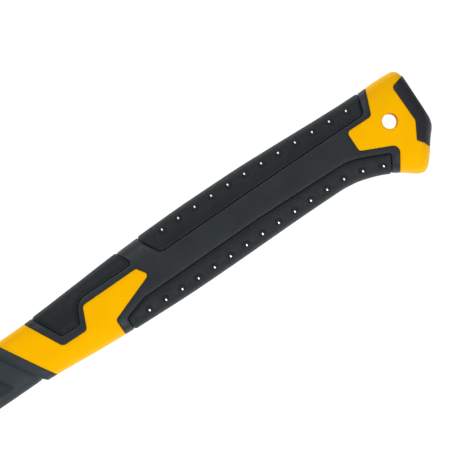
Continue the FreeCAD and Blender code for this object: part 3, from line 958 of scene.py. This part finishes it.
def make_head():
    """Forged head: blade, eye block and pick as one loft, with the oval eye cut through it."""
    bevel = [0.0, 0.25, *np.linspace(1.0, BEVEL - 0.25, 9), BEVEL]
    rings = [blade_ring(gap) for gap in (*bevel, *np.linspace(BEVEL + 0.5, 90.0, 44))]
    levels = [*np.linspace(-17.0, 17.0, 9), *np.linspace(19.0, 134.0, 70), 135.2, 135.8, 136.0]
    rings += [block_ring(y) for y in levels]
    head = loft("head_forged", rings)
    cutter = loft("eye_cutter", [cushion_ring(centred(EYE), x, grow) for x, grow in EYE_CUTS])
    cut = head.modifiers.new("eye", "BOOLEAN")
    cut.operation = "DIFFERENCE"
    cut.solver = "EXACT"
    cut.object = cutter
    depsgraph = bpy.context.evaluated_depsgraph_get()
    shape = bpy.data.meshes.new_from_object(head.evaluated_get(depsgraph))
    head.modifiers.clear()
    head.data = shape
    bpy.data.objects.remove(cutter)
    shape.set_sharp_from_angle(angle=SHARP)
    return head


# ---- materials
class Graph:
    """Short calls for a material's nodes."""

    def __init__(self, name):
        self.material = bpy.data.materials.new(name)
        self.material.use_nodes = True
        self.nodes = self.material.node_tree.nodes
        self.links = self.material.node_tree.links
        self.shader = self.nodes["Principled BSDF"]
        self.spot = self.add("ShaderNodeTexCoord").outputs["Object"]

    def add(self, kind, **settings):
        node = self.nodes.new(kind)
        for key, value in settings.items():
            setattr(node, key, value)
        return node

    def link(self, source, target):
        """Connects source to target, or sets target to a plain value."""
        if isinstance(source, bpy.types.NodeSocket):
            self.links.new(source, target)
        else:
            target.default_value = source

    def shade(self, inputs):
        """Feeds the shader's sockets from a dictionary of outputs and plain values."""
        for name, source in inputs.items():
            self.link(source, self.shader.inputs[name])

    def math(self, operation, a, b=0.0):
        node = self.add("ShaderNodeMath", operation=operation)
        self.link(a, node.inputs[0])
        self.link(b, node.inputs[1])
        return node.outputs[0]

    def noise(self, size, detail=2.0, at=None, rough=0.5):
        """Noise whose features are about size millimetres."""
        node = self.add("ShaderNodeTexNoise")
        self.link(at or self.spot, node.inputs["Vector"])
        node.inputs["Scale"].default_value = 1 / (size * MM)
        node.inputs["Detail"].default_value = detail
        node.inputs["Roughness"].default_value = rough
        return node.outputs["Fac"]

    def ramp(self, value, low, high, start=0.0, end=1.0):
        """Maps low..high of a value to start..end, clamped and smooth."""
        node = self.add("ShaderNodeMapRange", interpolation_type="SMOOTHSTEP")
        for source, target in zip((value, low, high, start, end), node.inputs):
            self.link(source, target)
        return node.outputs[0]

    def mix(self, share, a, b):
        """Colour between a and b."""
        node = self.add("ShaderNodeMix", data_type="RGBA")
        sockets = [socket for socket in node.inputs if socket.type == "RGBA"]
        self.link(share, node.inputs["Factor"])
        for source, target in zip((a, b), sockets):
            self.link((*source, 1.0) if isinstance(source, tuple) else source, target)
        return [socket for socket in node.outputs if socket.type == "RGBA"][0]

    def bump(self, *layers):
        """Stacks bumps of (height 0..1, depth in millimetres)."""
        normal = None
        for value, depth in layers:
            node = self.add("ShaderNodeBump")
            node.inputs["Distance"].default_value = depth * MM
            self.link(value, node.inputs["Height"])
            if normal is not None:
                self.link(normal, node.inputs["Normal"])
            normal = node.outputs["Normal"]
        self.link(normal, self.shader.inputs["Normal"])

    def rim(self):
        """1 at the rim of a patch, 0 away from it: the mask for the shade and highlight painted
        along the outlines.
        """
        return self.add("ShaderNodeAttribute", attribute_name="rim").outputs["Fac"]


def scaled(color, factor):
    return tuple(min(1.0, channel * factor) for channel in color)


def moulded(name, color, rough, specular, grain, depth, mottle, rim, tint=(1.0, 1.0, 1.0)):
    """Moulded plastic or rubber: fine grain, faint flow marks, and a rim of another tone: painted
    shade along the grooves at a piece's outline where rim is below 1, a painted highlight where it
    is above 1.
    """
    g = Graph(name)
    flow = g.ramp(g.noise(14.0, 3.0), 0.3, 0.7)
    fleck = g.math("MULTIPLY", g.ramp(g.noise(0.9, 3.0), 0.55, 0.8), 0.5)
    tone = g.mix(flow, scaled(color, 1 - mottle), scaled(color, 1 + mottle))
    tone = g.mix(fleck, tone, scaled(color, 1 + 3 * mottle))
    # painted shade: the rim darkens the colour beside the outline's groove; a rim above 1 paints a
    # highlight there instead
    edge = g.math("MULTIPLY", g.rim(), g.ramp(g.noise(5.0, 3.0), 0.25, 0.75, 0.35, 1.0))
    g.shade(
        {
            "Base Color": g.mix(edge, tone, scaled(color, rim)),
            "Roughness": g.ramp(g.noise(3.0, 4.0), 0.25, 0.75, rough - 0.05, rough + 0.05),
            "Specular IOR Level": specular,
            "Specular Tint": (*tint, 1.0),
        }
    )
    g.bump((g.noise(grain, 2.0, rough=0.65), depth), (g.noise(grain * 6, 2.0), depth * 1.5))
    return g.material


def polished_black():
    """Polished hard plastic of the studs."""
    g = Graph("stud_gloss")
    g.shade(
        {
            "Base Color": g.mix(g.noise(2.0), (0.002, 0.0025, 0.003), (0.004, 0.0045, 0.005)),
            "Roughness": g.ramp(g.noise(0.7, 3.0), 0.3, 0.7, 0.07, 0.13),
            "Coat Weight": 1.0,
            "Coat Roughness": 0.05,
            "Coat IOR": 1.75,
        }
    )
    g.bump((g.noise(0.8), 0.004))
    return g.material


def edge_polar(g):
    """Distances in from the cutting edge and along it, and the frame's y, all in metres."""
    centre = place([EDGE_X, EDGE_RADIUS - BLADE_REACH, 0.0])
    split = g.add("ShaderNodeSeparateXYZ")
    g.link(g.spot, split.inputs[0])
    along = g.math("SUBTRACT", split.outputs["X"], float(centre[0]))
    across = g.math("SUBTRACT", split.outputs["Y"], float(centre[1]))
    square = g.math("ADD", g.math("MULTIPLY", along, along), g.math("MULTIPLY", across, across))
    gap = g.math("SUBTRACT", EDGE_RADIUS * MM, g.math("SQRT", square))
    angle = g.math("ARCTAN2", along, g.math("MULTIPLY", across, -1.0))
    return gap, g.math("MULTIPLY", angle, EDGE_RADIUS * MM), split.outputs["Y"]


def enamelled_steel():
    """Red enamel over forged steel, ground bright along the cutting edge and at the pick's tip."""
    g = Graph("painted_head")
    gap, arc, y = edge_polar(g)
    wobble = g.math("MULTIPLY", g.math("SUBTRACT", g.noise(2.5, 4.0), 0.5), 0.9 * MM)
    blade = g.ramp(g.math("ADD", gap, wobble), (BEVEL + 0.1) * MM, (BEVEL + 0.3) * MM, 1.0, 0.0)
    blade = g.math("MULTIPLY", blade, g.ramp(y, 0.0, 0.001, 1.0, 0.0))
    tip_y = float(CAD_BOX[1].y) - TIP_BARE * MM
    tip = g.ramp(g.math("ADD", y, wobble), tip_y, tip_y + 0.25 * MM)
    bare = g.math("MAXIMUM", blade, tip)
    nick = g.ramp(g.noise(1.1, 4.0, rough=0.7), 0.71, 0.73)
    bare = g.math("MAXIMUM", bare, g.math("MULTIPLY", nick, g.ramp(gap, 22 * MM, BEVEL * MM)))

    grind_at = g.add("ShaderNodeCombineXYZ")
    g.link(arc, grind_at.inputs["X"])
    g.link(g.math("MULTIPLY", gap, 0.03), grind_at.inputs["Y"])
    grind = g.noise(0.22, 3.0, at=grind_at.outputs[0], rough=0.7)
    forge = g.noise(9.0, 3.0)
    red = g.mix(g.ramp(g.noise(22.0, 3.0), 0.3, 0.7), (0.43, 0.011, 0.009), (0.48, 0.015, 0.012))
    steel = g.mix(grind, (0.17, 0.175, 0.18), (0.33, 0.335, 0.34))
    paint_rough = g.ramp(g.noise(6.0, 4.0), 0.3, 0.7, 0.34, 0.44)
    steel_rough = g.ramp(grind, 0.3, 0.7, 0.46, 0.56)
    rough = g.add("ShaderNodeMix", data_type="FLOAT")
    g.link(bare, rough.inputs["Factor"])
    g.link(paint_rough, rough.inputs["A"])
    g.link(steel_rough, rough.inputs["B"])
    g.shade(
        {
            "Base Color": g.mix(bare, red, steel),
            "Metallic": bare,
            "Roughness": rough.outputs["Result"],
            "Specular IOR Level": 0.35,
        }
    )
    ground = g.math("MULTIPLY", bare, grind)
    paint = g.math("SUBTRACT", 1.0, bare)
    g.bump(
        (forge, 0.25),
        (g.math("MULTIPLY", paint, g.noise(1.6, 2.0)), 0.02),
        (ground, 0.006),
        (paint, 0.12),
    )
    return g.material


def fibre_end():
    """Pultruded rod: glass strands along the rod, which show as specks at its cut end."""
    g = Graph("fibreglass")
    strand_at = g.add("ShaderNodeVectorMath", operation="MULTIPLY")
    g.link(g.spot, strand_at.inputs[0])
    strand_at.inputs[1].default_value = (0.02, 1.0, 1.0)
    strand = g.noise(0.35, 3.0, at=strand_at.outputs[0], rough=0.7)
    tone = g.mix(g.ramp(strand, 0.35, 0.65), (0.42, 0.36, 0.2), (0.74, 0.68, 0.46))
    g.shade({"Base Color": tone, "Roughness": g.ramp(strand, 0.3, 0.7, 0.4, 0.6)})
    g.bump((strand, 0.05))
    return g.material


def cured_resin():
    """Amber potting resin with a few clouded patches."""
    g = Graph("epoxy")
    cloud = g.ramp(g.noise(3.0, 3.0), 0.35, 0.7)
    g.shade(
        {
            "Base Color": g.mix(cloud, (0.10, 0.05, 0.015), (0.20, 0.12, 0.05)),
            "Roughness": g.ramp(g.noise(1.5), 0.3, 0.7, 0.12, 0.3),
            "Coat Weight": 0.5,
        }
    )
    g.bump((g.noise(2.5), 0.15))
    return g.material


# ---- putting the axe together
MOULDINGS = {
    # slot: base colour, roughness, specular level, grain's size and depth, mottle, rim (painted
    # shade below 1, painted highlight above 1), tint
    "yellow_plastic": (
        (0.96, 0.478, 0.001), 0.5, 0.1, 0.3, 0.014, 0.02, 0.88, (1.0, 0.62, 0.02)
    ),
    "black_plastic": ((0.0220, 0.0272, 0.0312), 0.5, 0.2, 0.35, 0.03, 0.08, 0.75),
    "neck_plastic": ((0.0340, 0.0420, 0.0490), 0.6, 0.16, 0.35, 0.03, 0.07, 0.85),
    "soft_pad": ((0.0102, 0.0144, 0.0168), 0.6, 0.2, 0.5, 0.11, 0.10, 0.65),
    # the cap's rim of 1.2 is a painted highlight along its outline; the rims below 1 are painted
    # shade in the grooves
    "cap_rubber": ((0.019, 0.0205, 0.026), 0.55, 0.2, 0.4, 0.03, 0.08, 1.2),
    "guard_rubber": ((0.0125, 0.0140, 0.0155), 0.6, 0.3, 0.5, 0.04, 0.12, 1.0),
    "seal_rubber": ((0.010, 0.010, 0.010), 0.6, 0.3, 0.4, 0.03, 0.1, 1.0),
}


def paint(obj, material):
    """Makes a material the only one of an object."""
    obj.data.materials.clear()
    obj.data.materials.append(material)


def build_axe():
    """Puts each piece on the axe in place of its CAD node, and paints the nodes that stay."""
    finish = {slot: moulded(slot, *values) for slot, values in MOULDINGS.items()}
    finish["stud_gloss"] = polished_black()
    finish["painted_head"] = enamelled_steel()
    pieces = (
        (make_head(), "axe_head", "painted_head"),
        (make_guard(), "overstrike_guard", "guard_rubber"),
        (make_neck(), "neck_sleeve", "neck_plastic"),
        (make_tongue(), "neck_sleeve", "neck_plastic"),
        (make_band(), "grip_jacket", "yellow_plastic"),
        (make_butt(), "grip_jacket", "yellow_plastic"),
        (make_cap(), "butt_cap", "cap_rubber"),
        (make_shell(), "grip_shell", "black_plastic"),
        (make_pad("thumb_pad_soft", THUMB_PAD, rim=LINED_RIM), "thumb_pad", "soft_pad"),
        (make_pad("back_pad_soft", BACK_PAD, BACK_STUDS), "back_pad", "soft_pad"),
        (make_pad("belly_pad_soft", BELLY_PAD, BELLY_STUDS), "belly_pad", "soft_pad"),
        (make_studs("back_studs_gloss", BACK_STUDS), "back_studs", "stud_gloss"),
        (make_studs("belly_studs_gloss", BELLY_STUDS), "belly_studs", "stud_gloss"),
    )
    for obj, node, slot in pieces:
        paint(obj, finish[slot])
        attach(obj, "root")
        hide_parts(node)
    paint(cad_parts["eye_seal"], finish["seal_rubber"])
    paint(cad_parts["eye_resin"], cured_resin())
    paint(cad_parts["fibreglass_rod"], fibre_end())


# ---- stage
TURN = math.radians(33.5)  # how far the camera is rolled
VIEW_X, VIEW_Y, VIEW_WIDTH, VIEW_DISTANCE = -116.9, 0.8, 229.5, 3300.0
FLOOR_SIZE, FLOOR_LEVEL, FLOOR_GLOW, WORLD_LIGHT = 60.0, -0.0003, 0.95, 0.2
SOFTBOXES = [  # name, x, y, z, length, width, power: in metres from the middle of the grip
    ("softbox_back", -0.1, 1.15, 1.03, 0.5, 0.85, 12.5),
    ("softbox_belly", -0.1, -1.15, 1.03, 0.5, 0.85, 18.0),
]


def make_camera():
    """Long lens straight above the grip, rolled so that the handle rises to the right."""
    lens = bpy.data.cameras.new("camera")
    lens.sensor_width = 36.0
    lens.lens = lens.sensor_width * VIEW_DISTANCE / VIEW_WIDTH
    camera = add_object("camera", lens)
    camera.location = place([VIEW_X, VIEW_Y, VIEW_DISTANCE])
    cos, sin = math.cos(TURN), math.sin(TURN)
    camera.rotation_euler = Matrix(((cos, sin, 0), (-sin, cos, 0), (0, 0, 1))).to_euler()
    bpy.context.scene.camera = camera


def make_lights():
    """Two long softboxes beside the grip, under an even pale sky."""
    middle = Vector(place([VIEW_X, VIEW_Y, 0.0]))
    for name, x, y, z, length, width, power in SOFTBOXES:
        lamp = bpy.data.lights.new(name, "AREA")
        lamp.shape = "RECTANGLE"
        lamp.size, lamp.size_y = length, width
        lamp.energy = power
        box = add_object(name, lamp)
        box.location = middle + Vector((x, y, z))
        aim = Vector((0.0, -y, -z)).normalized()
        long_side = Vector((1.0, 0.0, 0.0))
        axes = Matrix((long_side, (-aim).cross(long_side), -aim))
        box.rotation_euler = axes.transposed().to_euler()
    world = bpy.data.worlds.new("world")
    bpy.context.scene.world = world
    world.use_nodes = True
    sky = world.node_tree.nodes["Background"]
    sky.inputs["Color"].default_value = (1.0, 1.0, 1.0, 1.0)
    sky.inputs["Strength"].default_value = WORLD_LIGHT


def make_floor():
    """Pale table top that glows like a light table."""
    half = FLOOR_SIZE / 2
    mesh = bpy.data.meshes.new("floor")
    corners = [(x * half, y * half, FLOOR_LEVEL) for x, y in ((-1, -1), (1, -1), (1, 1), (-1, 1))]
    mesh.from_pydata(corners, [], [(0, 1, 2, 3)])
    g = Graph("floor")
    g.shade(
        {
            "Base Color": g.mix(g.noise(400.0), (0.19, 0.19, 0.19), (0.21, 0.21, 0.21)),
            "Roughness": 0.8,
            "Specular IOR Level": 0.1,
            "Emission Color": (1.0, 1.0, 1.0, 1.0),
            "Emission Strength": FLOOR_GLOW,
        }
    )
    mesh.materials.append(g.material)
    add_object("floor", mesh)


build_axe()
make_floor()
make_lights()
make_camera()
bpy.context.scene.view_settings.view_transform = "Standard"
